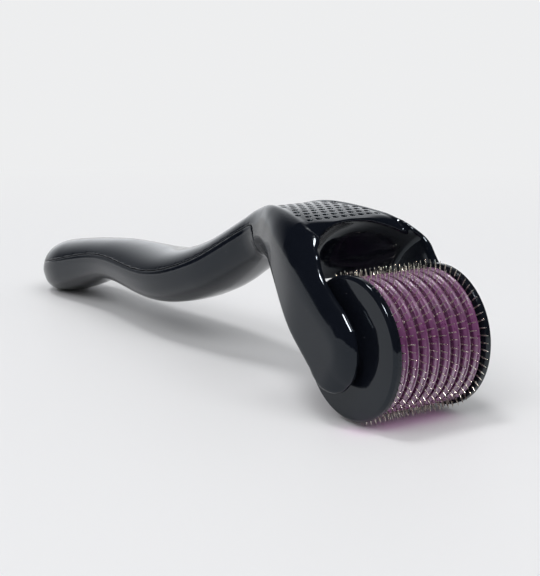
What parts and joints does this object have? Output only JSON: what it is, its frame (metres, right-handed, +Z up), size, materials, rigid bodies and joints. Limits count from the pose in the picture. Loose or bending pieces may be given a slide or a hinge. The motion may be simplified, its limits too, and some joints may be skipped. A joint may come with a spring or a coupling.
{
  "type": "derma roller",
  "caption": "Hand-held skin needling roller: an S-shaped moulded handle with a two-armed fork holding a free-turning drum of needle discs and spacer rings.",
  "frame": {"origin": "on the floor, under the middle of the whole part's length and width", "axes": "+X along the roller's axle, +Y from the roller back along the handle to the tail, +Z up"},
  "size_m": [0.0292, 0.1422, 0.0321],
  "materials": {
    "black_plastic": "high-gloss moulded black plastic",
    "cap_plastic": "high-gloss moulded black plastic",
    "core_plastic": "dark moulded plastic",
    "purple_plastic": "clear tinted plastic, purple",
    "needle_metal": "bright fine-ground metal",
    "pin_steel": "ground steel"
  },
  "bodies": {
    "handle": {"handle_upper_shell": "black_plastic", "handle_lower_shell": "black_plastic", "axle_pin": "pin_steel"},
    "roller": {"roller_core": "core_plastic", "left_end_cap": "cap_plastic", "right_end_cap": "cap_plastic", "needle_disc_1": "needle_metal", "needle_disc_2": "needle_metal", "needle_disc_3": "needle_metal", "needle_disc_4": "needle_metal", "needle_disc_5": "needle_metal", "needle_disc_6": "needle_metal", "needle_disc_7": "needle_metal", "needle_disc_8": "needle_metal", "needle_disc_9": "needle_metal", "spacer_ring_1": "purple_plastic", "spacer_ring_2": "purple_plastic", "spacer_ring_3": "purple_plastic", "spacer_ring_4": "purple_plastic", "spacer_ring_5": "purple_plastic", "spacer_ring_6": "purple_plastic", "spacer_ring_7": "purple_plastic", "spacer_ring_8": "purple_plastic"}
  },
  "joints": [
    {"name": "roller_spin", "type": "hinge", "parent": "handle", "child": "roller", "pos_m": [0, -0.05842, 0.0127], "axis": [1, 0, 0], "continuous": true}
  ]
}
